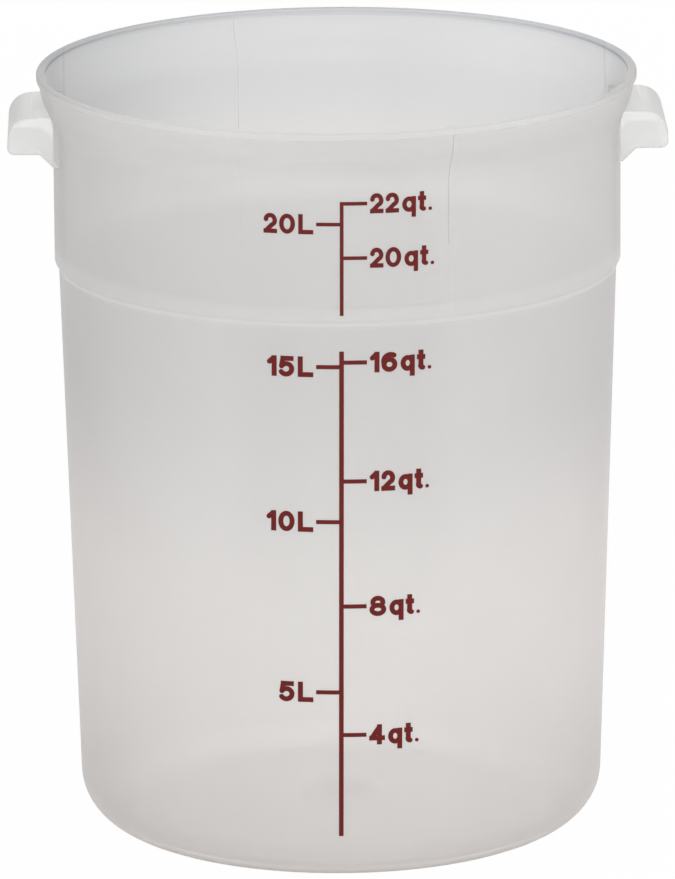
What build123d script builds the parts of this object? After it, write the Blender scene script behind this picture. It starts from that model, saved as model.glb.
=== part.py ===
from build123d import *
from math import atan2, cos, degrees, hypot, radians, sin
import os

# Round dough proofing tub with two moulded-in handles and a printed fill scale.
# Millimetres, +Z up. The origin is the middle of the base, on the table.
# The scale faces -Y and the handles stand out along +X and -X.

# Tub, over all
tub_height = 385.0
rim_radius = 149.5
wall = 2.3
floor_thickness = 3.0

# Lip that the lid snaps over
lip_height = 3.5
lip_overhang = 1.5
lip_top_width = 4.4
lip_round = 0.9

# Flare from the band out to the neck below the lip
flare_height = 26.5
flare_reach = 6.5

# Step between the tapered body and the wider upper band
band_height = 94.6
step_rise = 4.0
step_depth = 2.1
shelf_above_step = 7.0

# Tapered body and base
body_taper = 8.75
corner_radius = 26.0
foot_ring_width = 3.0
dome_rise = 8.0
gate_radius = 20.0
gate_recess = 1.2

# Handles: hollow hoods with closed ends, open below
handle_length = 62.0
handle_reach = 22.7
handle_height = 19.0
handle_below_rim = 16.5
handle_wall = 2.5
handle_draft = 1.0
handle_crown_radius = 11.0
handle_tip_radius = 3.5
handle_edge_round = 2.0
gusset_height = 6.5

# Printed scale. The band and the body are printed from two screens, and the
# lower print is the bolder one
ink_thickness = 0.12
tick_reach = 12.4
print_offset = -0.6
print_lean = 0.37
upper_line_width = 1.85
upper_tick_width = 1.8
upper_line_gap = 2.7
lower_line_width = 2.3
lower_tick_width = 2.1

# Lettering of the scale, measured over its strokes
upper_figure_height = 10.0
upper_stroke_width = 2.2
lower_figure_height = 10.4
lower_stroke_width = 2.5
label_start = 13.75
figure_gap = 0.95
unit_gap = 1.55

# Width of each character over its strokes, as a share of the figures' height
letter_width_shares = {
    "0": 0.77,
    "1": 0.46,
    "2": 0.66,
    "4": 0.75,
    "5": 0.74,
    "6": 0.75,
    "8": 0.80,
    "L": 0.73,
    "q": 0.675,
    "t": 0.42,
    ".": 0.18,
}

# Heights of the marks, as shares of the straight part of the band for the
# upper print, and of the body below the step for the lower print
upper_mark_shares = {"22 qt.": 0.908, "20 qt.": 0.488, "20 L": 0.748}
lower_mark_shares = {
    "16 qt.": 0.9393,
    "12 qt.": 0.7285,
    "8 qt.": 0.5052,
    "4 qt.": 0.2739,
    "15 L": 0.9313,
    "10 L": 0.6561,
    "5 L": 0.3508,
}
lower_line_top_share = 0.955

# One overrun for every cut that has to pass right through
overrun = 5.0

# Sizes that follow from the ones above
neck_radius = rim_radius - lip_overhang
mouth_radius = rim_radius - lip_top_width
band_radius = neck_radius - flare_reach
step_top = tub_height - band_height
step_bottom = step_top - step_rise
body_top_radius = band_radius - step_depth
body_foot_radius = body_top_radius - body_taper
shelf_height = step_top + shelf_above_step
lip_bottom = tub_height - lip_height
flare_bottom = lip_bottom - flare_height
foot_ring_radius = body_foot_radius - corner_radius - foot_ring_width
handle_top = tub_height - handle_below_rim
handle_bottom = handle_top - handle_height
handle_tip = band_radius + handle_reach

os.makedirs("parts", exist_ok=True)


def flare(start, end):
    """Draw an S made of two equal arcs, upright at both of its ends."""
    middle = ((start[0] + end[0]) / 2, (start[1] + end[1]) / 2)
    TangentArc(start, middle, tangent=(0, 1))
    TangentArc(end, middle, tangent=(0, -1))


def dome(centre_height, edge_radius, edge_height):
    """Draw the floor's arc, level at the axis, out to its edge."""
    TangentArc((0, centre_height), (edge_radius, edge_height), tangent=(1, 0))


# Solid form of the outside of the tub, which also seats the handles
with BuildPart() as tub_form:
    with BuildSketch(Plane.XZ) as outer_section:
        with BuildLine():
            Polyline(
                (0, 0),
                (body_foot_radius, 0),
                (body_top_radius, step_bottom),
                (band_radius, step_top),
                (band_radius, flare_bottom),
            )
            flare((band_radius, flare_bottom), (neck_radius, lip_bottom))
            Polyline(
                (neck_radius, lip_bottom),
                (rim_radius, lip_bottom),
                (rim_radius, tub_height),
                (0, tub_height),
                (0, 0),
            )
        make_face()
        corners = outer_section.vertices()
        fillet(corners.sort_by_distance((body_foot_radius, 0))[0], corner_radius)
        fillet(outer_section.vertices().sort_by_distance((rim_radius, lip_bottom))[0], lip_round)
        fillet(outer_section.vertices().sort_by_distance((rim_radius, tub_height))[0], lip_round)
    revolve(axis=Axis.Z)

# The tub: lip, flare, band, step, tapered body and domed floor in one wall
with BuildPart() as tub:
    add(tub_form.part)
    with BuildSketch(Plane.XZ) as hollow_section:
        with BuildLine():
            dome(dome_rise + floor_thickness, foot_ring_radius, floor_thickness)
            Polyline(
                (foot_ring_radius, floor_thickness),
                (body_foot_radius - wall, floor_thickness),
                (body_top_radius - wall, step_bottom),
                (body_top_radius - wall, shelf_height - step_depth),
                (band_radius - wall, shelf_height),
                (band_radius - wall, flare_bottom),
            )
            flare((band_radius - wall, flare_bottom), (mouth_radius, lip_bottom))
            Polyline(
                (mouth_radius, lip_bottom),
                (mouth_radius, tub_height + overrun),
                (0, tub_height + overrun),
                (0, dome_rise + floor_thickness),
            )
        make_face()
        corners = hollow_section.vertices()
        inner_corner = corners.sort_by_distance((body_foot_radius - wall, floor_thickness))[0]
        fillet(inner_corner, corner_radius - wall)
    revolve(axis=Axis.Z, mode=Mode.SUBTRACT)
    with BuildSketch(Plane.XZ):
        with BuildLine():
            dome(dome_rise, foot_ring_radius, 0)
            Polyline((foot_ring_radius, 0), (0, 0), (0, dome_rise))
        make_face()
    revolve(axis=Axis.Z, mode=Mode.SUBTRACT)
    with BuildSketch(Plane.XY.offset(dome_rise)):
        Circle(gate_radius)
    extrude(amount=floor_thickness + gate_recess)
    with BuildSketch():
        Circle(gate_radius - floor_thickness / 2)
    extrude(amount=dome_rise + gate_recess, mode=Mode.SUBTRACT)
tub.part.label = "tub"
export_step(tub.part, "parts/tub.step")


def hood_corners(inset):
    """Give the corners of the handle's end, drawn in by inset at its top and tip."""
    tip = handle_tip - inset
    top = handle_top - inset
    return [
        (band_radius - wall, handle_bottom),
        (band_radius - wall, top),
        (tip - handle_draft, top),
        (tip, handle_bottom),
    ]


# A handle is a hood over the fingers. Its closed ends run down onto the band
# as gussets, and its seat is cut to the tub's own outside.
with BuildPart() as handle_right:
    with BuildSketch(Plane.XZ) as hood:
        Polygon(*hood_corners(0), align=None)
        tip_corner = hood.vertices().sort_by_distance((handle_tip, handle_bottom))[0]
        fillet(tip_corner, handle_tip_radius)
        crown_corner = hood.vertices().sort_by_distance((handle_tip - handle_draft, handle_top))[0]
        fillet(crown_corner, handle_crown_radius)
    extrude(amount=handle_length / 2, both=True)
    outline = handle_right.faces().filter_by(Axis.Y).edges().filter_by_position(
        Axis.X, band_radius, handle_tip + overrun, inclusive=(False, True)
    )
    fillet(outline, handle_edge_round)
    with BuildSketch(Plane.XZ) as hollow:
        Polygon(*hood_corners(handle_wall), align=None)
        crown_corner = hollow.vertices().sort_by_distance(
            (handle_tip - handle_draft - handle_wall, handle_top - handle_wall)
        )[0]
        fillet(crown_corner, handle_crown_radius - handle_wall)
    extrude(amount=handle_length / 2 - handle_wall, both=True, mode=Mode.SUBTRACT)
    end_plates = [
        Plane.XZ.offset(handle_length / 2 - handle_wall),
        Plane.XZ.offset(-handle_length / 2),
    ]
    for end_plane in end_plates:
        with BuildSketch(end_plane):
            Polygon(
                (band_radius - wall, handle_bottom),
                (band_radius + gusset_height, handle_bottom),
                (band_radius, handle_bottom - gusset_height),
                (band_radius - wall, handle_bottom - gusset_height),
                align=None,
            )
        extrude(amount=handle_wall)
    add(tub_form.part, mode=Mode.SUBTRACT)
handle_right.part.label = "handle_right"
export_step(handle_right.part, "parts/handle_right.step")

with BuildPart() as handle_left:
    mirror(handle_right.part, about=Plane.YZ)
handle_left.part.label = "handle_left"
export_step(handle_left.part, "parts/handle_left.step")

# Skins of ink on the band and on the body, from which the print is cut
with BuildPart() as band_skin:
    with BuildSketch(Plane.XZ):
        with BuildLine():
            Polyline(
                (band_radius, step_top),
                (band_radius + ink_thickness, step_top),
                (band_radius + ink_thickness, flare_bottom),
                (band_radius, flare_bottom),
                close=True,
            )
        make_face()
    revolve(axis=Axis.Z)

body_slope = body_taper / step_bottom
skin_foot = corner_radius
skin_foot_radius = body_foot_radius + body_slope * skin_foot
with BuildPart() as body_skin:
    with BuildSketch(Plane.XZ):
        with BuildLine():
            Polyline(
                (skin_foot_radius, skin_foot),
                (skin_foot_radius + ink_thickness, skin_foot),
                (body_top_radius + ink_thickness, step_bottom),
                (body_top_radius, step_bottom),
                close=True,
            )
        make_face()
    revolve(axis=Axis.Z)

# The print is laid on square to -Y, with a slight lean to the right
lean = radians(print_lean)
print_plane = Plane(
    origin=(print_offset - tub_height * sin(lean), -rim_radius, 0),
    x_dir=(cos(lean), 0, -sin(lean)),
    z_dir=(0, -1, 0),
)
print_reach = rim_radius / 2

# Strokes of each character. Lines and bows give points as shares of the
# character's width and height between stroke middles, and rings give their
# centre and their half widths in the same shares.
line_shares = {
    "1": [((0, 0.76), (0.85, 1)), ((1, 0), (1, 1))],
    "2": [((0.68, 0.4), (0, 0)), ((0, 0), (1, 0))],
    "4": [((0.72, 0), (0.72, 1)), ((0.72, 1), (0, 0.27)), ((0, 0.27), (1, 0.27))],
    "5": [((0.16, 1), (0.92, 1)), ((0.16, 1), (0.03, 0.5))],
    "L": [((0, 1), (0, 0)), ((0, 0), (1, 0))],
    "q": [((1, 0.71), (1, -0.33))],
    "t": [((0.42, 0.99), (0.42, 0.2)), ((0, 0.7), (0.92, 0.7))],
}
bow_shares = {
    "2": [((0.02, 0.74), (0.46, 1), (0.94, 0.8)), ((0.94, 0.8), (0.97, 0.58), (0.68, 0.4))],
    "5": [((0.03, 0.5), (0.52, 0.66), (0.97, 0.4)), ((0.97, 0.4), (0.62, 0.01), (0, 0.14))],
    "6": [((0.02, 0.36), (0.24, 0.88), (0.92, 0.9))],
    "t": [((0.42, 0.2), (0.52, 0.04), (0.9, 0.01))],
}
ring_shares = {
    "0": [((0.5, 0.5), (0.5, 0.5))],
    "6": [((0.5, 0.32), (0.5, 0.32))],
    "8": [((0.5, 0.74), (0.42, 0.26)), ((0.5, 0.27), (0.5, 0.27))],
    "q": [((0.5, 0.35), (0.5, 0.35))],
}


def straight_stroke(start, end, width):
    """Draw a straight stroke: upright and level ones end square, and slanting ones round."""
    run = hypot(end[0] - start[0], end[1] - start[1])
    turn = degrees(atan2(end[1] - start[1], end[0] - start[0]))
    with Locations(((start[0] + end[0]) / 2, (start[1] + end[1]) / 2)):
        if start[0] == end[0] or start[1] == end[1]:
            Rectangle(run + width, width, rotation=turn)
        else:
            SlotCenterToCenter(run, width, rotation=turn)


def letter_width(character, figure_height):
    """Give the width of a character over its strokes."""
    return letter_width_shares[character] * figure_height


def draw_character(character, left, foot, figure_height, stroke_width):
    """Draw one character whose strokes start at left and stand on foot."""
    width = letter_width(character, figure_height) - stroke_width
    height = figure_height - stroke_width
    start = left + stroke_width / 2

    def place(shares):
        return (start + shares[0] * width, foot + shares[1] * height)

    if character == ".":
        dot_radius = letter_width(character, figure_height) / 2
        with Locations((left + dot_radius, foot)):
            Circle(dot_radius)
    for centre, halves in ring_shares.get(character, []):
        across = halves[0] * width
        up = halves[1] * height
        with Locations(place(centre)):
            Ellipse(across + stroke_width / 2, up + stroke_width / 2)
            Ellipse(across - stroke_width / 2, up - stroke_width / 2, mode=Mode.SUBTRACT)
    for first, last in line_shares.get(character, []):
        straight_stroke(place(first), place(last), stroke_width)
    for first, middle, last in bow_shares.get(character, []):
        with BuildLine(mode=Mode.PRIVATE) as bow:
            ThreePointArc(place(first), place(middle), place(last))
        SlotArc(bow.edge(), stroke_width)


def gap_after(character, following):
    """Give the space between two characters of a label."""
    if character.isdigit() and not following.isdigit():
        return unit_gap
    return figure_gap


def label_length(text, figure_height):
    """Give the length of a label over its strokes."""
    gaps = sum(gap_after(one, two) for one, two in zip(text, text[1:]))
    return sum(letter_width(character, figure_height) for character in text) + gaps


def printed_label(name, text, height, skin, figure_height, stroke_width):
    """Print one label beside its tick: quarts on the right, litres on the left."""
    pen = label_start
    if text.endswith("L"):
        pen = -label_start - label_length(text, figure_height)
    foot = height - (figure_height - stroke_width) / 2
    with BuildPart() as label:
        with BuildSketch(print_plane):
            for place, character in enumerate(text):
                draw_character(character, pen, foot, figure_height, stroke_width)
                pen += letter_width(character, figure_height)
                if place + 1 < len(text):
                    pen += gap_after(character, text[place + 1])
        extrude(amount=-print_reach)
        add(skin, mode=Mode.INTERSECT)
    label.part.label = name
    export_step(label.part, f"parts/{name}.step")


def printed_line(name, foot, top, marks, skin, line_width, tick_width):
    """Print one upright line with its ticks: quarts to the right, litres to the left."""
    with BuildPart() as scale_line:
        with BuildSketch(print_plane):
            straight_stroke((0, foot + line_width / 2), (0, top), line_width)
            for text, height in marks.items():
                side = -1 if text.endswith("L") else 1
                end = side * (tick_reach - tick_width / 2)
                straight_stroke((0, height), (end, height), tick_width)
        extrude(amount=-print_reach)
        add(skin, mode=Mode.INTERSECT)
    scale_line.part.label = name
    export_step(scale_line.part, f"parts/{name}.step")


band_straight = flare_bottom - step_top
upper_marks = {text: step_top + share * band_straight for text, share in upper_mark_shares.items()}
lower_marks = {text: share * step_bottom for text, share in lower_mark_shares.items()}

printed_line(
    "scale_line_upper",
    step_top + upper_line_gap,
    max(upper_marks.values()),
    upper_marks,
    band_skin.part,
    upper_line_width,
    upper_tick_width,
)
printed_line(
    "scale_line_lower",
    skin_foot,
    lower_line_top_share * step_bottom,
    lower_marks,
    body_skin.part,
    lower_line_width,
    lower_tick_width,
)

unit_names = {"qt.": "quarts", "L": "litres"}
for marks, skin, figure_height, stroke_width in (
    (upper_marks, band_skin.part, upper_figure_height, upper_stroke_width),
    (lower_marks, body_skin.part, lower_figure_height, lower_stroke_width),
):
    for text, height in marks.items():
        figure, unit = text.split()
        name = f"label_{figure}_{unit_names[unit]}"
        printed_label(name, figure + unit, height, skin, figure_height, stroke_width)
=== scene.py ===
# %% [markdown]
# A frosted dough tub, dressed for the studio.
# The tub is one injection moulding in natural polypropylene. Light soaks
# through it, so most of its look is not paint but the way a thin milky wall
# passes light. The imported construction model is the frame: it gives every
# piece its place, and this lesson makes the surfaces that a camera sees.

# %% Load the frame
from collections import namedtuple
from math import acos, atan2, cos, pi, radians, sin, sqrt, tan

import bmesh
import bpy
from mathutils import Matrix, Vector


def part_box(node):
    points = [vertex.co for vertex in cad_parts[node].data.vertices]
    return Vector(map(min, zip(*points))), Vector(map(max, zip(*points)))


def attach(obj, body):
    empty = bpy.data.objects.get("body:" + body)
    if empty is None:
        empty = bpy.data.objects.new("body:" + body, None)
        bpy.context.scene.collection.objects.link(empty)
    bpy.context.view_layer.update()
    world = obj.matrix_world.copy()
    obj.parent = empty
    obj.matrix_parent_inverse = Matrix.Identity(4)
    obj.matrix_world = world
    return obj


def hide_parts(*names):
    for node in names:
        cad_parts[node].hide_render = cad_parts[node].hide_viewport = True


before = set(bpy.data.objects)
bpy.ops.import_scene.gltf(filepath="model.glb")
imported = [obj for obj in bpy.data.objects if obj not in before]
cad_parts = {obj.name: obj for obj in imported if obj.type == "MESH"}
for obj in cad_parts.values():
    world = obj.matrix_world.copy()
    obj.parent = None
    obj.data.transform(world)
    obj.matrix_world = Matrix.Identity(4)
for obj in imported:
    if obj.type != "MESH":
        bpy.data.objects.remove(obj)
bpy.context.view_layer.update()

# %% [markdown]
# The camera comes first, because every later choice is judged through it.
# The picture was taken from far away with a long lens, slightly from above
# and a little to the left of the scale. A tub has no straight lines to read
# a camera from, so the place was worked out from its ellipses: how round the
# lip and the base look gives the height of the camera, and how much wider
# the lip looks than the base gives its distance.

# %% Camera
MM = 0.001
photo_width = 675
photo_height = 879
sensor = 36.0

camera_distance = 4.697
camera_height = 1.4135
camera_pitch = radians(14.5507)
camera_turn = radians(1.2)
camera_aim = radians(0.0085)
camera_roll = radians(-0.397)
camera_sight = 100.0
focal_pixels = 9649

camera_data = bpy.data.cameras.new("camera")
camera = bpy.data.objects.new("camera", camera_data)
bpy.context.scene.collection.objects.link(camera)
camera_data.sensor_width = sensor
camera_data.lens = focal_pixels / max(photo_width, photo_height) * sensor
camera_data.clip_end = camera_sight
around = Matrix.Rotation(-camera_turn, 4, "Z")
aim = Matrix.Rotation(camera_aim, 4, "Z")
tilt = aim @ Matrix.Rotation(pi / 2 - camera_pitch, 4, "X") @ Matrix.Rotation(camera_roll, 4, "Z")
place = around @ Matrix.Translation((0, -camera_distance, camera_height))
camera.matrix_world = place @ tilt
bpy.context.scene.camera = camera
print("camera at", [round(v, 3) for v in camera.location], "lens", round(camera_data.lens, 1))

# %% [markdown]
# The tub is a body of revolution: every wall is one section turned about the
# axis. So it is made the way a potter's template works. The section is
# traced point by point and then spun. The sizes come from the frame where
# the frame has them, and the rest are the moulding's own walls and radii.

# %% Sizes of the tub's section
rim_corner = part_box("tub")[1]
height = rim_corner.z
rim_radius = rim_corner.x

wall = 2.3 * MM
floor_thickness = 3.0 * MM
lip_height = 3.5 * MM
lip_top_width = 4.4 * MM
lip_overhang = 1.5 * MM
flare_height = 26.5 * MM
flare_reach = 6.5 * MM
band_height = 94.6 * MM
step_rise = 4.0 * MM
step_depth = 2.1 * MM
shelf_above_step = 7.0 * MM
body_taper = 8.75 * MM
corner_radius = 26.0 * MM
foot_ring_width = 3.0 * MM
dome_rise = 8.0 * MM
gate_radius = 20.0 * MM
gate_recess = 1.2 * MM
ink_seat = 0.03 * MM

neck_radius = rim_radius - lip_overhang
band_radius = neck_radius - flare_reach
body_top_radius = band_radius - step_depth
body_foot_radius = body_top_radius - body_taper
mouth_radius = rim_radius - lip_top_width
step_top = height - band_height
step_bottom = step_top - step_rise
shelf_height = step_top + shelf_above_step
lip_bottom = height - lip_height
flare_bottom = lip_bottom - flare_height
foot_ring_radius = body_foot_radius - corner_radius - foot_ring_width
print("lip", round(rim_radius * 2, 4), "m across, band", round(band_radius * 2, 4))

# %% [markdown]
# Three small drawing helpers are enough for the whole section. One rounds
# the corners of a polyline, as a mould maker's cutter does. One draws the S
# of the flare as two equal arcs. One draws the dome of the floor, which is
# level at the axis.

# %% Helpers that draw the section
small_arc_step = radians(12)


def rounded(corners, step=small_arc_step):
    """Round each (x, z, radius) corner of an open line with an arc."""
    line = [Vector(corners[0][:2])]
    for before, corner, after in zip(corners, corners[1:], corners[2:]):
        point = Vector(corner[:2])
        to_before = (Vector(before[:2]) - point).normalized()
        to_after = (Vector(after[:2]) - point).normalized()
        turn = pi - acos(max(-1, min(1, to_before.dot(to_after))))
        radius = corner[2]
        if radius == 0 or turn == 0:
            line.append(point)
            continue
        centre = point + (to_before + to_after).normalized() * radius / cos(turn / 2)
        start = point + to_before * radius * tan(turn / 2) - centre
        sign = 1 if to_before.cross(to_after) < 0 else -1
        count = max(2, round(turn / step))
        for index in range(count + 1):
            angle = sign * turn * index / count
            line.append(centre + Matrix.Rotation(angle, 2) @ start)
    line.append(Vector(corners[-1][:2]))
    return line


def s_curve(start, end, count=8):
    """Join two points by two equal arcs that are upright at both ends."""
    across = (end[0] - start[0]) / 2
    up = (end[1] - start[1]) / 2
    radius = (across**2 + up**2) / (2 * abs(across))
    reach = atan2(abs(up), radius - abs(across))
    side = 1 if across > 0 else -1
    rise = 1 if up > 0 else -1
    half = []
    for index in range(count + 1):
        angle = reach * index / count
        half.append((side * radius * (1 - cos(angle)), rise * radius * sin(angle)))
    first = [Vector((start[0] + x, start[1] + z)) for x, z in half]
    second = [Vector((end[0] - x, end[1] - z)) for x, z in reversed(half)]
    return first + second[1:]


def dome(centre_height, edge_radius, edge_height, first=0.0, count=10):
    """Draw the floor's arc from a first radius out to its edge."""
    drop = centre_height - edge_height
    radius = (edge_radius**2 + drop**2) / (2 * drop)
    line = []
    for index in range(count + 1):
        across = first + (edge_radius - first) * index / count
        line.append(Vector((across, centre_height - radius + sqrt(radius**2 - across**2))))
    return line


# %% [markdown]
# Low down inside, where the core of the mould is split, the tub keeps a
# witness line, a ridge too fine to feel. It could be a bump in the material,
# but a ridge in the mesh throws a real glint, so a small peak is put into
# the section.

# %% Helper for the witness line
witness_radius = 124.5 * MM
witness_height = 0.3 * MM
witness_half_width = 0.5 * MM


def raise_witness(line):
    """Put a small peak into the inside line where it passes the witness radius."""
    for index, (here, after) in enumerate(zip(line, line[1:])):
        if here.y < corner_radius and here.x > witness_radius >= after.x:
            along = (after - here).normalized()
            inward = Vector((-along.y, along.x))
            if inward.y < 0:
                inward = -inward
            middle = here + along * (here.x - witness_radius) / abs(along.x)
            ridge = [
                middle - along * witness_half_width,
                middle + inward * witness_height,
                middle + along * witness_half_width,
            ]
            return line[:index + 1] + ridge + line[index + 1:]
    return line


# %% [markdown]
# The section runs from the axis under the floor, out over the foot ring, up
# the outside, over the lip, down the inside and back to the axis on top of
# the floor. Edges that look sharp on the real tub still have a radius of
# about half a millimetre, and that radius is what catches the light.

# %% Trace the outside, the lip and the inside
edge_round = 0.5 * MM
lip_round = 0.9 * MM
step_round = 1.2 * MM
shelf_round = 2.5 * MM
outside_arc_step = radians(7)
inside_arc_step = radians(5)

outside = rounded([
    (foot_ring_radius, 0, 0),
    (body_foot_radius, 0, corner_radius),
    (body_top_radius, step_bottom, step_round),
    (band_radius - ink_seat, step_top, step_round),
    (band_radius - ink_seat, flare_bottom, 0),
], step=outside_arc_step)
outer_flare = s_curve((band_radius - ink_seat, flare_bottom), (neck_radius, lip_bottom - edge_round))
lip = rounded([
    (neck_radius, lip_bottom - edge_round, 0),
    (neck_radius, lip_bottom, edge_round),
    (rim_radius, lip_bottom, lip_round),
    (rim_radius, height, lip_round),
    (mouth_radius, height, lip_round),
    (mouth_radius, lip_bottom, 0),
])
inner_flare = s_curve((mouth_radius, lip_bottom), (band_radius - wall, flare_bottom))
inside = raise_witness(rounded([
    (band_radius - wall, flare_bottom, 0),
    (band_radius - wall, shelf_height, shelf_round),
    (body_top_radius - wall, shelf_height - step_depth, shelf_round),
    (body_top_radius - wall, step_bottom, 0),
    (body_foot_radius - wall, floor_thickness, corner_radius - wall),
    (foot_ring_radius, floor_thickness, 0),
], step=inside_arc_step))
print("points outside:", len(outside), "inside:", len(inside))

# %% [markdown]
# The floor is domed, so that the tub stands on its ring alone. At its middle
# is the gate, where the melt came in: a shallow recess below and a low pad
# above, so that the wall stays as thick as elsewhere.

# %% Trace the floor and join the section
gate_inner_radius = gate_radius - floor_thickness / 2
under_floor = dome(dome_rise, foot_ring_radius, 0, first=gate_inner_radius)
over_floor = dome(dome_rise + floor_thickness, foot_ring_radius, floor_thickness, first=gate_radius)
gate_under = rounded([
    (0, dome_rise + gate_recess, 0),
    (gate_inner_radius, dome_rise + gate_recess, edge_round),
    (gate_inner_radius, under_floor[0].y, edge_round),
    (gate_inner_radius + edge_round * 2, under_floor[0].y, 0),
])
gate_over = rounded([
    (gate_radius + edge_round, over_floor[0].y, 0),
    (gate_radius, over_floor[0].y, edge_round / 2),
    (gate_radius, dome_rise + floor_thickness + gate_recess, edge_round),
    (0, dome_rise + floor_thickness + gate_recess, 0),
])

section = gate_under + under_floor[1:] + outside + outer_flare + lip
section += inner_flare + inside + list(reversed(over_floor[1:])) + gate_over
print("section points:", len(section))

# %% [markdown]
# A single vertex is extruded from point to point, and the chain is spun a
# full turn. Spinning can leave a shape inside out and doubles along its
# seam, so doubles are merged before the normals are worked out.

# %% Helpers that model by hand
tiny = 0.001 * MM
merge_distance = 0.005 * MM


def deselect_all():
    """Leave nothing selected, so that an operator acts on one piece alone."""
    if bpy.context.object and bpy.context.object.mode == "EDIT":
        bpy.ops.object.mode_set(mode="OBJECT")
    bpy.ops.object.select_all(action="DESELECT")


def make_active(piece):
    """Select one piece alone and make it the active one."""
    deselect_all()
    piece.select_set(True)
    bpy.context.view_layer.objects.active = piece


def trace(name, line):
    """Start a mesh from one vertex and extrude it along (x, z) points."""
    deselect_all()
    bpy.ops.mesh.primitive_plane_add(size=MM)
    piece = bpy.context.object
    piece.name = name
    bpy.ops.object.mode_set(mode="EDIT")
    bpy.ops.mesh.select_all(action="SELECT")
    bpy.ops.mesh.merge(type="CENTER")
    bpy.ops.transform.translate(value=(line[0].x, 0, line[0].y))
    last = line[0]
    for point in line[1:]:
        move = point - last
        if move.length > tiny:
            bpy.ops.mesh.extrude_vertices_move(
                TRANSFORM_OT_translate={"value": (move.x, 0, move.y)}
            )
            last = point
    return piece


def spin_closed(piece, steps):
    """Spin the traced section a full turn and close the skin."""
    bpy.ops.mesh.select_all(action="SELECT")
    bpy.ops.mesh.spin(steps=steps, angle=2 * pi, center=(0, 0, 0), axis=(0, 0, 1))
    bpy.ops.mesh.select_all(action="SELECT")
    bpy.ops.mesh.remove_doubles(threshold=merge_distance)
    bpy.ops.mesh.normals_make_consistent(inside=False)
    bpy.ops.object.mode_set(mode="OBJECT")
    return piece


# %% Spin the tub
turn_steps = 256
tub = spin_closed(trace("tub_shell", section), turn_steps)
print("tub faces:", len(tub.data.polygons))

# %% [markdown]
# The mould closes round the band in segments, and where two of them meet,
# the tub keeps a fine upright ridge. Each ridge is cut into the skin with
# three close planes, and only the middle line of the three is raised.

# %% Raise the parting lines on the band
parting_turns = [radians(turn) for turn in (-73.5, -20.7, 21.3, 73.5, 159.6, -160.0)]
parting_half_width = 0.25 * MM
parting_height = 0.06 * MM
parting_low = step_top + 35.4 * MM
parting_high = lip_bottom - 1.0 * MM
on_plane = 0.01 * MM


def raise_parting_line(piece, turn):
    """Raise one upright line on the outside, at a turn from the front."""
    outward = Vector((sin(turn), -cos(turn), 0))
    across = Vector((cos(turn), sin(turn), 0))
    for side in (-1, 1, 0):
        bpy.ops.mesh.select_all(action="SELECT")
        bpy.ops.mesh.bisect(plane_co=across * side * parting_half_width, plane_no=across)
    bpy.ops.mesh.select_mode(type="VERT")
    bpy.ops.mesh.select_all(action="DESELECT")
    shape = bmesh.from_edit_mesh(piece.data)
    shape.normal_update()
    for vertex in shape.verts:
        on_line = abs(vertex.co.dot(across)) < on_plane and vertex.co.dot(outward) > 0
        on_outside = vertex.normal.dot(outward) > 0.5 and parting_low < vertex.co.z < parting_high
        vertex.select_set(on_line and on_outside)
    bmesh.update_edit_mesh(piece.data)
    bpy.ops.transform.shrink_fatten(value=parting_height)


make_active(tub)
bpy.ops.object.mode_set(mode="EDIT")
bpy.ops.mesh.select_all(action="SELECT")
bpy.ops.mesh.bisect(plane_co=(0, 0, parting_low), plane_no=(0, 0, 1))
for parting_turn in parting_turns:
    raise_parting_line(tub, parting_turn)
bpy.ops.object.mode_set(mode="OBJECT")
print("tub faces with its parting lines:", len(tub.data.polygons))

# %% Smooth the tub but keep its edges
smooth_angle = radians(32)
make_active(tub)
bpy.ops.object.shade_smooth_by_angle(angle=smooth_angle)
print("smooth where faces meet under", round(smooth_angle, 3), "radians")

# %% [markdown]
# Each handle is a hood that the fingers reach into from below. The outline
# of its closed end is traced and drawn out along the tub's side, and the
# long edges are rounded. Then a smaller form should be cut out of it, and
# its back trimmed to sit just inside the skin of the tub's wall, as the two
# are one moulding. Neither cut works yet, and the two cells below say why.

# %% Sizes of the handle
handle_low, handle_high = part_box("handle_right")
handle_length = handle_high.y - handle_low.y
handle_reach = 22.7 * MM
handle_height = 19.0 * MM
handle_below_rim = 16.5 * MM
handle_wall = 2.5 * MM
handle_draft = 1.0 * MM
handle_crown_radius = 11.0 * MM
handle_tip_radius = 3.5 * MM
handle_edge_round = 2.0 * MM
handle_arc_step = radians(8)
gusset_height = 6.5 * MM
seat_depth = 0.4 * MM
cut_overrun = 5.0 * MM

handle_tip = band_radius + handle_reach
handle_top = height - handle_below_rim
handle_bottom = handle_top - handle_height
gusset_bottom = handle_bottom - gusset_height
print("handle", round(handle_length, 4), "m long, tip", round(handle_tip, 4), "m from the axis")


# %% Helpers for the handle
def draw_out(piece, start, end):
    """Close the traced outline with a face and draw it out along Y."""
    bpy.ops.mesh.select_all(action="SELECT")
    bpy.ops.mesh.edge_face_add()
    bpy.ops.transform.translate(value=(0, start, 0))
    bpy.ops.mesh.extrude_region_move(TRANSFORM_OT_translate={"value": (0, end - start, 0)})
    bpy.ops.mesh.select_all(action="SELECT")
    bpy.ops.mesh.normals_make_consistent(inside=False)


def select_edges(piece, wanted):
    """Select the edges of the piece in edit mode whose two ends pass a test."""
    bpy.ops.mesh.select_mode(type="EDGE")
    bpy.ops.mesh.select_all(action="DESELECT")
    shape = bmesh.from_edit_mesh(piece.data)
    for edge in shape.edges:
        edge.select_set(wanted(edge.verts[0].co, edge.verts[1].co))
    bmesh.update_edit_mesh(piece.data)


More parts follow.
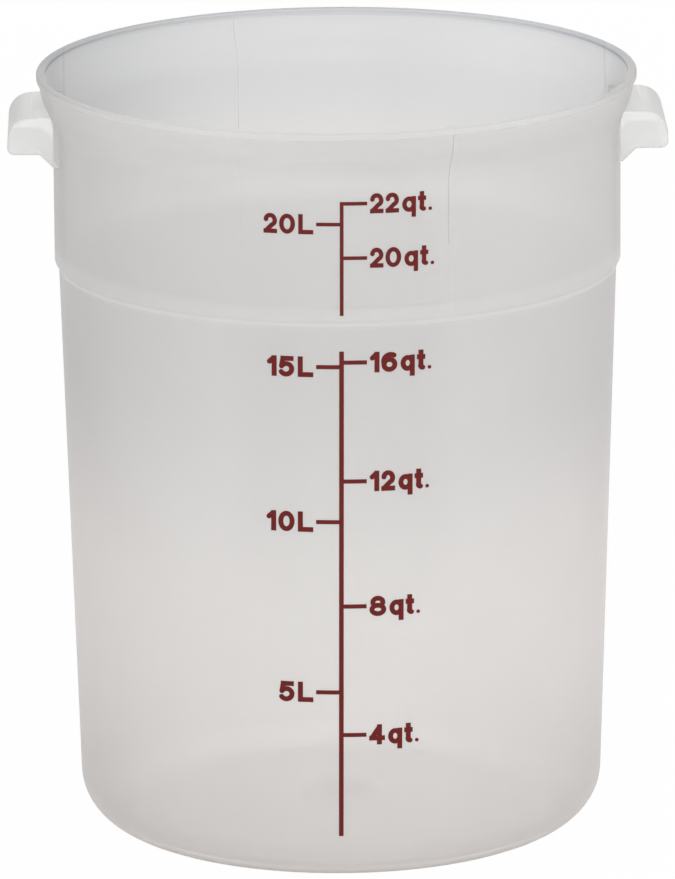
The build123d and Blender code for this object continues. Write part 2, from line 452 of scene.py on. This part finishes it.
def apply_modifier(piece, kind, **settings):
    """Put a modifier on a piece and apply it."""
    make_active(piece)
    modifier = piece.modifiers.new(kind.lower(), kind)
    for key, value in settings.items():
        setattr(modifier, key, value)
    bpy.ops.object.modifier_apply(modifier=modifier.name)


def cut_away(piece, cutter):
    """Take the cutter's shape out of the piece and throw the cutter away."""
    apply_modifier(piece, "BOOLEAN", operation="DIFFERENCE", solver="EXACT", object=cutter)
    bpy.data.objects.remove(cutter)


# %% Draw out the hood of the right handle
hood_outline = rounded([
    (band_radius - wall * 2, gusset_bottom, 0),
    (band_radius, gusset_bottom, 0),
    (band_radius + gusset_height, handle_bottom, gusset_height / 3),
    (handle_tip, handle_bottom, handle_tip_radius),
    (handle_tip - handle_draft, handle_top, handle_crown_radius),
    (band_radius - wall * 2, handle_top, 0),
], step=handle_arc_step)
handle_right = trace("handle_right_hood", hood_outline)
draw_out(handle_right, -handle_length / 2, handle_length / 2)


def on_end_outline(a, b):
    """Tell whether an edge runs round one of the handle's two ends."""
    same_end = abs(a.y - b.y) < tiny
    clear_of_wall = min(a.x, b.x) > band_radius - wall
    return same_end and clear_of_wall


select_edges(handle_right, on_end_outline)
bpy.ops.mesh.bevel(offset=handle_edge_round, segments=5, affect="EDGES")
bpy.ops.object.mode_set(mode="OBJECT")
print("faces of the full hood:", len(handle_right.data.polygons))

# %% Hollow it from below
# Known fault: select_edges leaves edge selection on, where a lone vertex can't be selected, so
# this cutter gets no faces. It cuts nothing, and the hood stays full
hollow_tip = handle_tip - handle_wall
hollow_top = handle_top - handle_wall
hollow_outline = rounded([
    (band_radius - wall * 3, gusset_bottom - cut_overrun, 0),
    (hollow_tip, gusset_bottom - cut_overrun, 0),
    (hollow_tip, handle_bottom, 0),
    (hollow_tip - handle_draft, hollow_top, handle_crown_radius - handle_wall),
    (band_radius - wall * 3, hollow_top, 0),
], step=handle_arc_step)
hollow = trace("hollow_cutter", hollow_outline)
draw_out(hollow, handle_wall - handle_length / 2, handle_length / 2 - handle_wall)
bpy.ops.object.mode_set(mode="OBJECT")
cut_away(handle_right, hollow)
print("faces after the first cut:", len(handle_right.data.polygons))

# %% Seat it on the wall
# Known fault: this cutter is empty for the same reason, so the hood's back runs through the wall
wall_form_low = flare_bottom - band_height / 2
wall_outline = [Vector((0, wall_form_low)), Vector((band_radius - seat_depth, wall_form_low))]
wall_outline += [point - Vector((seat_depth, 0)) for point in outer_flare]
wall_outline += [Vector((0, outer_flare[-1].y))]
wall_form = spin_closed(trace("wall_cutter", wall_outline), turn_steps)
cut_away(handle_right, wall_form)
apply_modifier(
    handle_right, "BEVEL",
    width=edge_round, segments=2, limit_method="ANGLE", angle_limit=radians(45), harden_normals=False,
)
make_active(handle_right)
bpy.ops.object.shade_smooth_by_angle(angle=smooth_angle)
print("handle faces:", len(handle_right.data.polygons))

# %% Mirror it for the left side
make_active(handle_right)
bpy.ops.object.duplicate()
handle_left = bpy.context.object
handle_left.name = "handle_left_hood"
bpy.ops.object.mode_set(mode="EDIT")
bpy.ops.mesh.select_all(action="SELECT")
bpy.ops.transform.resize(value=(-1, 1, 1), center_override=(0, 0, 0))
bpy.ops.mesh.normals_make_consistent(inside=False)
bpy.ops.object.mode_set(mode="OBJECT")
print("left handle faces:", len(handle_left.data.polygons))

# %% [markdown]
# A material is a tree of nodes. Each node could be added and wired by hand,
# but the trees here are long, so a few helpers keep them readable. One adds
# a node with its settings and links. Colours are written as the hex values
# that a paint program shows, and one function turns them to linear.

# %% Helpers for materials
def linear(hex_colour):
    """Turn an sRGB hex colour into the linear values that Blender works in."""
    channels = [int(hex_colour[i:i + 2], 16) / 255 for i in (1, 3, 5)]
    turned = [c / 12.92 if c <= 0.04045 else ((c + 0.055) / 1.055) ** 2.4 for c in channels]
    return (*turned, 1)


def feed(tree, socket, value):
    """Set a socket to a number, a vector or a hex colour, or link another socket to it."""
    if isinstance(value, str):
        socket.default_value = linear(value)
    elif isinstance(value, (int, float, tuple)):
        socket.default_value = value
    else:
        tree.links.new(value, socket)


def new_material(name):
    """Start a material with an empty node tree."""
    material = bpy.data.materials.new(name)
    material.use_nodes = True
    material.node_tree.nodes.clear()
    return material, material.node_tree


def add_node(tree, kind, inputs=None, **settings):
    """Add a node, set its properties and sockets, and feed its other inputs."""
    node = tree.nodes.new(kind)
    for key, value in settings.items():
        if hasattr(node, key):
            setattr(node, key, value)
        else:
            feed(tree, node.inputs[key.replace("_", " ")], value)
    for socket, value in (inputs or {}).items():
        feed(tree, node.inputs[socket], value)
    return node


# %% Helpers that join shares and colours
def ramp(tree, value, start, end, low=0.0, high=1.0):
    """Rise smoothly from low at start to high at end; start may be the larger one."""
    node = add_node(
        tree, "ShaderNodeMapRange", {"Value": value}, interpolation_type="SMOOTHSTEP",
        **{"From Min": start, "From Max": end, "To Min": low, "To Max": high},
    )
    return node.outputs["Result"]


def combine(tree, operation, *values):
    """Join values, sockets or plain numbers, with one math node."""
    node = add_node(tree, "ShaderNodeMath", dict(enumerate(values)), operation=operation)
    return node.outputs[0]


def zone(tree, value, middle, half_width, fade, most=1.0):
    """Give most within half_width of the middle, fading to 0 beyond it."""
    off = combine(tree, "ABSOLUTE", combine(tree, "SUBTRACT", value, middle))
    return ramp(tree, off, half_width + fade, half_width, 0.0, most)


def product(tree, *shares):
    """Multiply some shares, which leaves only the place where all of them hold."""
    result = shares[0]
    for share in shares[1:]:
        result = combine(tree, "MULTIPLY", result, share)
    return result


def colour_mix(tree, share, first, second):
    """Mix two colours, each a socket or a hex colour, by a share."""
    node = add_node(
        tree, "ShaderNodeMix", {"Factor": share, "A": first, "B": second}, data_type="RGBA"
    )
    return node.outputs["Result"]


def mix_into_tint(tree, tint, colour, *shares):
    """Mix a colour into the tint, as strongly as the product of the shares. Most of these mixes are
    painted light or painted shade.
    """
    return colour_mix(tree, product(tree, *shares), tint, colour)


# %% [markdown]
# Frosted polypropylene, injection moulded. The plastic itself is nearly
# clear, but tiny crystals inside it scatter the light, so a wall glows with
# whatever falls on its other side. A volume would show that, but it is slow
# and noisy, so the skin carries it. Three things share the light there: a
# plain skin that sends some back, a translucent part that lets light soak
# through and spread, and a clear part that lets the far side show faintly.
# The tint of the milky part tells how thick the wall is, and where it is
# paler low on the body it is also painted light. On that tint the tub's marks
# follow from the floor up: a few thicker places, and many of painted light and shade.

# %% Helper that finds a place on the tub
Place = namedtuple("Place", "x y z radius outward front back")


def find_place(tree, where):
    """Give a point's coordinates, its distance from the axis, and how far front or back it is."""
    parts = add_node(tree, "ShaderNodeSeparateXYZ", {"Vector": where}).outputs
    level = add_node(tree, "ShaderNodeVectorMath", {0: where, 1: (1, 1, 0)}, operation="MULTIPLY")
    radius = add_node(tree, "ShaderNodeVectorMath", {0: level.outputs[0]}, operation="LENGTH")
    return Place(
        x=parts["X"],
        y=parts["Y"],
        z=parts["Z"],
        radius=radius.outputs["Value"],
        outward=combine(tree, "ABSOLUTE", parts["X"]),
        front=ramp(tree, parts["Y"], -30 * MM, -110 * MM),
        back=ramp(tree, parts["Y"], 0.0, 40 * MM),
    )


# %% Floor and gate
painted_floor_light_share = 0.6
gate_shade_share = 0.22


def floor_marks(tree, at, tint):
    """Paint the light that also reaches the floor from the paper below, and light and shade at its
    far corner and its gate.
    """
    # Painted light: inside the witness line the floor is drawn paler and warmer
    on_floor = ramp(tree, at.radius, witness_radius + 1 * MM, witness_radius, 0.0, painted_floor_light_share)
    tint = mix_into_tint(tree, tint, "#F6F0EC", on_floor)
    # Painted light: at the far side the corner's lower half, which turns up to the light, is drawn
    # white
    corner = zone(tree, at.radius, middle=114 * MM, half_width=4 * MM, fade=8 * MM, most=0.45)
    low = ramp(tree, at.z, 30 * MM, 20 * MM)
    tint = mix_into_tint(tree, tint, "#FFFFFF", corner, low, at.back)
    # Painted shade in the gate's shallow dish, and a painted highlight where its far rim catches the
    # light
    dish = ramp(tree, at.radius, 18 * MM, 14 * MM, 0.0, gate_shade_share)
    tint = mix_into_tint(tree, tint, "#BFB0A6", dish)
    rim = zone(tree, at.radius, middle=22.5 * MM, half_width=1.8 * MM, fade=1.2 * MM, most=0.9)
    return mix_into_tint(tree, tint, "#FFFFFF", rim, ramp(tree, at.y, 0.0, 12 * MM))


# %% Step and shelf
doubled_middle = (step_bottom + shelf_height) / 2


def shelf_marks(tree, at, tint):
    """Tint the belt paler where the step outside and the shelf inside double the wall, and paint
    light on the shelf at the far side.
    """
    doubled = zone(tree, at.z, doubled_middle, half_width=3.5 * MM, fade=4.5 * MM, most=0.3)
    tint = mix_into_tint(tree, tint, "#F2F2F1", doubled)
    # Painted light: at the far side the shelf and the wall above it, which face the light, are drawn
    # white
    shelf = zone(tree, at.z, shelf_height - 3 * MM, half_width=2 * MM, fade=4 * MM, most=0.6)
    tint = mix_into_tint(tree, tint, "#FFFFFF", shelf, at.back)
    above_shelf = zone(tree, at.z, shelf_height + 6 * MM, half_width=3 * MM, fade=4 * MM, most=0.4)
    return mix_into_tint(tree, tint, "#FFFFFF", above_shelf, at.back)


# %% Band and flare
painted_cool_shade_share = 0.3


def band_marks(tree, at, tint):
    """Paint light and shade on the band and the flare, and tell which part of them is the far side.
    """
    # Painted light: from the step up the band is drawn paler towards its right
    right = ramp(tree, at.x, 10 * MM, 90 * MM, 0.0, 0.2)
    tint = mix_into_tint(tree, tint, "#F6F5F2", right, ramp(tree, at.z, step_bottom, shelf_height))
    # Painted shade: the far side, seen over the front of the lip through no second wall, is drawn
    # cooler and darker; more painted shade to the left, painted light to the right
    far_side = product(tree, ramp(tree, at.z, shelf_height + 15 * MM, flare_bottom), at.back)
    tint = mix_into_tint(tree, tint, "#C3C7D2", far_side, painted_cool_shade_share)
    tint = mix_into_tint(tree, tint, "#B9BBB6", far_side, ramp(tree, at.x, -50 * MM, -120 * MM, 0.0, 0.25))
    tint = mix_into_tint(tree, tint, "#F6F6F6", far_side, ramp(tree, at.x, 20 * MM, 110 * MM, 0.0, 0.3))
    # Painted light: the flare is drawn paler at the front left, where it catches the light
    flare = ramp(tree, at.z, flare_bottom, flare_bottom + 10 * MM)
    left = ramp(tree, at.x, 30 * MM, -60 * MM, 0.0, 0.15)
    return mix_into_tint(tree, tint, "#FFFFFF", flare, at.front, left), far_side


# %% Upper body
def body_marks(tree, at, tint):
    """Paint light on the upper body's sides and shade in its middle, so that it is as pale at its
    sides as in its middle.
    """
    rising = ramp(tree, at.z, 130 * MM, 200 * MM)
    upper_body = product(tree, rising, ramp(tree, at.z, step_top, step_bottom))
    # Painted light at the sides and painted shade in the middle of the upper body
    sides = zone(tree, at.outward, middle=85 * MM, half_width=22 * MM, fade=25 * MM, most=0.08)
    tint = mix_into_tint(tree, tint, "#FFFFFF", upper_body, sides)
    middle = zone(tree, at.outward, middle=0.0, half_width=25 * MM, fade=40 * MM, most=0.15)
    return mix_into_tint(tree, tint, "#C6C4C2", upper_body, middle)


# %% Strips behind the handles
painted_strip_shade_share = 0.12
strip_edge_shares = (0.952, 0.962)


def strip_marks(tree, at, tint):
    """Paint shade on the two upright strips of the band that carry the handles."""
    sideways = combine(tree, "DIVIDE", at.outward, at.radius)
    strip = ramp(tree, sideways, *strip_edge_shares)
    above_step = ramp(tree, at.z, step_top, shelf_height)
    # Painted shade on the strips at the sides
    tint = mix_into_tint(tree, tint, "#B2B3AF", strip, above_step, painted_strip_shade_share)
    # Inside, the cores of the handles leave an upright line at each end of the strip
    line = zone(tree, at.outward, middle=136.1 * MM, half_width=0.25 * MM, fade=0.3 * MM, most=0.12)
    far = ramp(tree, at.y, 32 * MM, 36 * MM)
    high = ramp(tree, at.z, 360 * MM, 363 * MM)
    return mix_into_tint(tree, tint, "#4A4640", line, far, high)


# %% Step face and foot
foot_shade_share = 0.12


def edge_marks(tree, at, tint):
    """Paint a highlight on the step and shade on the corner, the outside's two edges over the paper,
    and tell where the foot's painted shadow is.
    """
    # Painted highlight: the step leans out over the paper, so it is drawn as the brightest line of
    # the outside
    face = zone(tree, at.z, step_bottom + 1.4 * MM, half_width=0.6 * MM, fade=1.2 * MM, most=0.4)
    outside_skin = ramp(tree, at.radius, body_top_radius - 1.0 * MM, body_top_radius - 0.2 * MM)
    tint = mix_into_tint(tree, tint, "#FFFFFF", face, outside_skin)
    # Painted shadow: close to the paper the corner stands in its own shadow
    low = zone(tree, at.z, middle=4.5 * MM, half_width=2.0 * MM, fade=3.0 * MM)
    off_the_ring = ramp(tree, at.radius, 104 * MM, 106 * MM)
    foot = product(tree, low, off_the_ring, combine(tree, "SUBTRACT", 1.0, at.back))
    return mix_into_tint(tree, tint, "#9E958E", foot, foot_shade_share), foot


# %% Lip
painted_lip_light_share = 0.35
painted_lip_back_shade_share = 0.3


def lip_marks(tree, at, tint):
    """Paint light on the front of the lip, which is solid, and shade on its back, and tell where its
    front is.
    """
    lip_zone = ramp(tree, at.z, lip_bottom - 0.5 * MM, lip_bottom + 0.3 * MM)
    lip_front = product(tree, lip_zone, at.front)
    # Painted light on the lip's front and painted shade on its back
    tint = mix_into_tint(tree, tint, "#FFFFFF", lip_front, painted_lip_light_share)
    tint = mix_into_tint(tree, tint, "#B9BDC2", lip_zone, at.back, painted_lip_back_shade_share)
    # Painted shade: inside the solid lip the light is bent away, which leaves a bluish grey line
    line = zone(tree, at.z, height - 1.4 * MM, half_width=0.5 * MM, fade=0.5 * MM, most=0.6)
    inner_half = ramp(tree, at.radius, 146.5 * MM, 145.8 * MM)
    tint = mix_into_tint(tree, tint, "#7E868E", line, inner_half, combine(tree, "SUBTRACT", 1.0, at.front))
    return tint, lip_front


# %% All the marks of the tub
full_gloss = 0.5
foot_cloud_share = 0.5
far_side_cloud_share = 0.09


def tub_marks(tree, where, tint):
    """Paint the tub's marks, most of them light and shade, and tell how glossy, how evenly clear and
    how clouded it is.
    """
    at = find_place(tree, where)
    tint = floor_marks(tree, at, tint)
    tint = shelf_marks(tree, at, tint)
    tint, far_side = band_marks(tree, at, tint)
    tint = body_marks(tree, at, tint)
    tint = strip_marks(tree, at, tint)
    tint, foot = edge_marks(tree, at, tint)
    tint, lip_front = lip_marks(tree, at, tint)
    far_cloud = product(tree, far_side, far_side_cloud_share)
    clouded = combine(tree, "MULTIPLY_ADD", foot, foot_cloud_share, far_cloud)
    # Close to the paper the skin mirrors only the tub's own shadow
    gloss = ramp(tree, at.z, 2 * MM, 14 * MM, 0.0, full_gloss)
    return tint, gloss, lip_front, clouded


# %% The marks of a handle
def handle_marks(tree, where, tint):
    """Paint shade on the rounded edges of a handle's ends, where the light is bent away."""
    parts = add_node(tree, "ShaderNodeSeparateXYZ", {"Vector": where}).outputs
    along = combine(tree, "ABSOLUTE", parts["Y"])
    edge = zone(tree, along, middle=29.8 * MM, half_width=0.3 * MM, fade=0.6 * MM, most=0.25)
    return mix_into_tint(tree, tint, "#A4A9AF", edge), full_gloss, 0.0, 0.0


# %% [markdown]
# Now the plastic itself. The tub and its handles are one melt, so one
# function makes both materials, and each piece brings its own marks and
# tints. Two things vary over any such wall. Haze drifts slowly through it,
# because the melt cools unevenly. And a ray that grazes the wall has more
# haze to cross than one that meets it square, which Layer Weight gives
# without any painting by where the camera stands.

# %% Frosted polypropylene
haze_size = 60 * MM
haze_share = 0.1
grain_size = 1.2 * MM
grain_depth = 0.05 * MM
clear_square_share = 0.67
clear_grazing_share = 0.06
clear_even_share = 0.64
soaking_share = 0.55
clear_tint = "#FDFDFC"


def thinness_and_painted_light(tree, where):
    """Tell how thin the wall is: thinnest low on the body, thicker at step and corner. Where it is
    paler low on the body, that is also painted light.
    """
    cloud = add_node(tree, "ShaderNodeTexNoise", {"Vector": where}, Scale=1 / haze_size, Detail=3.0)
    haze = ramp(tree, cloud.outputs["Fac"], 0.3, 0.7, 0.0, haze_share)
    upward = add_node(tree, "ShaderNodeSeparateXYZ", {"Vector": where}).outputs["Z"]
    # Partly painted light: between the corner and the step the body is drawn paler
    above_corner = ramp(tree, upward, 10 * MM, 110 * MM, 0.1, 0.75)
    below_step = ramp(tree, upward, 250 * MM, 130 * MM)
    return combine(tree, "MULTIPLY_ADD", above_corner, below_step, haze)


def clearness(tree, evened, clouded):
    """Tell how much passes straight through: less at a graze or in a clouded place."""
    facing = add_node(tree, "ShaderNodeLayerWeight", Blend=0.5)
    clear = add_node(
        tree, "ShaderNodeMapRange", {"Value": facing.outputs["Facing"]},
        **{"To Min": clear_square_share, "To Max": clear_grazing_share},
    ).outputs["Result"]
    missing = combine(tree, "SUBTRACT", clear_even_share, clear)
    clear = combine(tree, "MULTIPLY_ADD", evened, missing, clear)
    return product(tree, clear, combine(tree, "SUBTRACT", 1.0, clouded))


def frosted_polypropylene(name, darker_tint, paler_tint, marks):
    """Make a thin milky wall from its two tints and the marks of its piece."""
    material, tree = new_material(name)
    where = add_node(tree, "ShaderNodeTexCoord").outputs["Object"]
    tint = colour_mix(tree, thinness_and_painted_light(tree, where), darker_tint, paler_tint)
    tint, gloss, evened, clouded = marks(tree, where, tint)
    # The mould is spark eroded, which leaves a fine grain. It is drawn a little coarse, to show
    grain = add_node(tree, "ShaderNodeTexNoise", {"Vector": where}, Scale=1 / grain_size, Detail=2.0)
    bump = add_node(
        tree, "ShaderNodeBump", {"Height": grain.outputs["Fac"]}, Strength=0.25, Distance=grain_depth
    ).outputs["Normal"]
    skin = add_node(
        tree, "ShaderNodeBsdfPrincipled",
        {"Base Color": tint, "Normal": bump, "Specular IOR Level": gloss},
        Roughness=0.42, IOR=1.49,
    )
    soak = add_node(tree, "ShaderNodeBsdfTranslucent", {"Color": tint, "Normal": bump})
    milky = add_node(
        tree, "ShaderNodeMixShader", {1: skin.outputs[0], 2: soak.outputs[0]}, Fac=soaking_share
    )
    clear = add_node(tree, "ShaderNodeBsdfTransparent", Color=clear_tint)
    wall_mix = add_node(
        tree, "ShaderNodeMixShader",
        {0: clearness(tree, evened, clouded), 1: milky.outputs[0], 2: clear.outputs[0]},
    )
    add_node(tree, "ShaderNodeOutputMaterial", {"Surface": wall_mix.outputs[0]})
    return material


wall_plastic = frosted_polypropylene("frosted_polypropylene", "#DFDDDC", "#F3F0EF", tub_marks)
handle_plastic = frosted_polypropylene(
    "frosted_polypropylene_of_the_handles", "#F0F0EF", "#F3F2F2", handle_marks
)
print("nodes in the wall's material:", len(wall_plastic.node_tree.nodes))

# %% Dress the tub and its handles
for piece, node, plastic in (
    (tub, "tub", wall_plastic),
    (handle_left, "handle_left", handle_plastic),
    (handle_right, "handle_right", handle_plastic),
):
    piece.data.materials.clear()
    piece.data.materials.append(plastic)
    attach(piece, "root")
    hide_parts(node)
    print(piece.name, "stands for", node)

# %% [markdown]
# Fine dust settles along two of the parting lines, one outside at the front
# and one inside at the back, and draws them as thin grey threads. A mark in
# the wall's material could be too wide for them, so the faces of the line
# itself get a material of their own.

# %% Dust in the parting lines
dust_clear_share = 0.68
dust_patch_size = 4 * MM
dusty_turns = [(radians(21.3), 1), (radians(-160.0), -1)]
dust_top = height - 2 * MM


def parting_dust():
    """Give the grey of fine dust, which half hides the plastic."""
    material, tree = new_material("dusty_parting_line")
    where = add_node(tree, "ShaderNodeTexCoord").outputs["Object"]
    broken = add_node(
        tree, "ShaderNodeTexNoise", {"Vector": where}, Scale=1 / dust_patch_size, Detail=3.0
    )
    tint = colour_mix(tree, ramp(tree, broken.outputs["Fac"], 0.3, 0.7), "#6F6B66", "#A5A19C")
    dust = add_node(tree, "ShaderNodeBsdfPrincipled", {"Base Color": tint}, Roughness=0.7)
    clear = add_node(tree, "ShaderNodeBsdfTransparent", Color=clear_tint)
    thin = add_node(
        tree, "ShaderNodeMixShader", {1: dust.outputs[0], 2: clear.outputs[0]}, Fac=dust_clear_share
    )
    add_node(tree, "ShaderNodeOutputMaterial", {"Surface": thin.outputs[0]})
    return material


def on_dusty_line(centre, normal):
    """Tell whether a face lies on a dusty line: side 1 is the outer skin, -1 the inner."""
    for turn, side in dusty_turns:
        outward = Vector((sin(turn), -cos(turn), 0))
        across = Vector((cos(turn), sin(turn), 0))
        on_line = abs(centre.dot(across)) < parting_half_width and centre.dot(outward) > 0
        on_skin = normal.dot(outward) * side > 0.3
        if on_line and on_skin and parting_low < centre.z < dust_top:
            return True
    return False


def give_material(piece, material, wanted):
    """Give one more material to the faces whose centre and normal pass a test."""
    piece.data.materials.append(material)
    make_active(piece)
    bpy.ops.object.mode_set(mode="EDIT")
    bpy.ops.mesh.select_mode(type="FACE")
    bpy.ops.mesh.select_all(action="DESELECT")
    shape = bmesh.from_edit_mesh(piece.data)
    for face in shape.faces:
        face.select_set(wanted(face.calc_center_median(), face.normal))
    bmesh.update_edit_mesh(piece.data)
    piece.active_material_index = len(piece.data.materials) - 1
    bpy.ops.object.material_slot_assign()
    bpy.ops.object.mode_set(mode="OBJECT")


give_material(tub, parting_dust(), on_dusty_line)
dusty_slot = tub.active_material_index
print("dusty faces:", sum(face.material_index == dusty_slot for face in tub.data.polygons))

# %% [markdown]
# The scale is screen printed: ink is pressed through a mesh onto the wall
# and dries as a thin satin skin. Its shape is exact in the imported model, so
# those nodes stay and only get a finish. The mesh leaves a slight blotch in
# both the colour and the height of the ink, so one noise drives the two.

# %% Screen-printing ink
blotch_size = 3 * MM
blotch_depth = 0.05 * MM


def printing_ink():
    """Make the dark red ink, a little uneven in colour and height."""
    material, tree = new_material("screen_printing_ink")
    where = add_node(tree, "ShaderNodeTexCoord").outputs["Object"]
    blotch = add_node(
        tree, "ShaderNodeTexNoise", {"Vector": where}, Scale=1 / blotch_size, Detail=3.0
    ).outputs["Fac"]
    tint = colour_mix(tree, blotch, "#580E09", "#6A130D")
    bump = add_node(tree, "ShaderNodeBump", {"Height": blotch}, Strength=0.3, Distance=blotch_depth)
    body = add_node(
        tree, "ShaderNodeBsdfPrincipled", {"Base Color": tint, "Normal": bump.outputs["Normal"]},
        Roughness=0.6, Specular_IOR_Level=0.25,
    )
    add_node(tree, "ShaderNodeOutputMaterial", {"Surface": body.outputs[0]})
    return material


ink = printing_ink()
printed = [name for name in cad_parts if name.startswith(("label_", "scale_"))]
for name in printed:
    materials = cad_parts[name].data.materials
    materials.clear()
    materials.append(ink)
print("printed nodes:", len(printed))

# %% [markdown]
# The tub stands on white paper. The paper has to look white without being
# lit so hard that the tub turns white too. So it glows evenly for rays that
# come from the camera, a gloss or a clear wall, and for all others, which
# carry the light, it is plain matt paper. A small rest of the matt paper
# stays in view and keeps the tub's shadow.

# %% Floor
paper_size = 12
paper_centre = (0, 2, 0)
glow_share = 0.98


def paper():
    """Make matt paper that the camera sees white."""
    material, tree = new_material("white_paper")
    material.cycles.emission_sampling = "NONE"
    paths = add_node(tree, "ShaderNodeLightPath").outputs
    matt = add_node(tree, "ShaderNodeBsdfDiffuse", Color="#F2F2F2")
    glow = add_node(tree, "ShaderNodeEmission", Strength=1.0)
    seen = combine(tree, "MAXIMUM", paths["Is Camera Ray"], paths["Is Glossy Ray"])
    seen = combine(tree, "MAXIMUM", seen, paths["Is Transmission Ray"])
    mix = add_node(
        tree, "ShaderNodeMixShader",
        {0: product(tree, seen, glow_share), 1: matt.outputs[0], 2: glow.outputs[0]},
    )
    add_node(tree, "ShaderNodeOutputMaterial", {"Surface": mix.outputs[0]})
    return material


deselect_all()
bpy.ops.mesh.primitive_plane_add(size=paper_size, location=paper_centre)
floor = bpy.context.object
floor.name = "paper_floor"
floor.data.materials.append(paper())
print("paper:", paper_size, "m wide")

# %% [markdown]
# A studio surrounds such a tub with large soft panels, because small lamps
# would leave hard glints on the frosted skin. The front panel is the main
# one. The right one is stronger than the left, which gives the tub its
# paler right side, and the one behind shines through the far wall. The
# world fills in what the panels miss, and is white only for the camera.

# %% World
world_strength = 0.4
world = bpy.data.worlds.new("studio")
bpy.context.scene.world = world
world.use_nodes = True
world_tree = world.node_tree
world_tree.nodes.clear()
paths = add_node(world_tree, "ShaderNodeLightPath")
ambient = add_node(world_tree, "ShaderNodeBackground", Color="#FAFBFC", Strength=world_strength)
white = add_node(world_tree, "ShaderNodeBackground", Color="#FFFFFF", Strength=1.0)
world_mix = add_node(
    world_tree, "ShaderNodeMixShader",
    {0: paths.outputs["Is Camera Ray"], 1: ambient.outputs[0], 2: white.outputs[0]},
)
add_node(world_tree, "ShaderNodeOutputWorld", {"Surface": world_mix.outputs[0]})
print("world strength:", world_strength)

# %% Soft panels
tub_middle = (0, 0, height / 2)
low_middle = (0, 0, 100 * MM)


def soft_panel(name, place, aim, size, watts, colour="#FFFFFF"):
    """Hang a square panel of light that faces a point."""
    lamp_data = bpy.data.lights.new(name, "AREA")
    lamp_data.size = size
    lamp_data.energy = watts
    lamp_data.color = linear(colour)[:3]
    lamp = bpy.data.objects.new(name, lamp_data)
    bpy.context.scene.collection.objects.link(lamp)
    lamp.location = place
    lamp.rotation_euler = (Vector(aim) - Vector(place)).to_track_quat("-Z", "Y").to_euler()
    return lamp


panels = [
    soft_panel("overhead_panel", (0, 0.2, 2.2), tub_middle, size=1.8, watts=3),
    soft_panel("front_panel", (0, -2.6, 1.0), tub_middle, size=1.6, watts=42, colour="#F8FAFF"),
    soft_panel("left_panel", (-2.4, -0.2, 0.9), tub_middle, size=1.4, watts=9),
    soft_panel("right_panel", (2.4, -0.2, 0.9), tub_middle, size=1.4, watts=20),
    soft_panel("back_panel", (0, 2.7, 0.6), low_middle, size=1.2, watts=12),
]
print("panels:", ", ".join(panel.name for panel in panels))

# %% [markdown]
# The plain view transform shows a colour about as it is written.

# %% Set the view transform and finish
bpy.context.scene.view_settings.view_transform = "Standard"
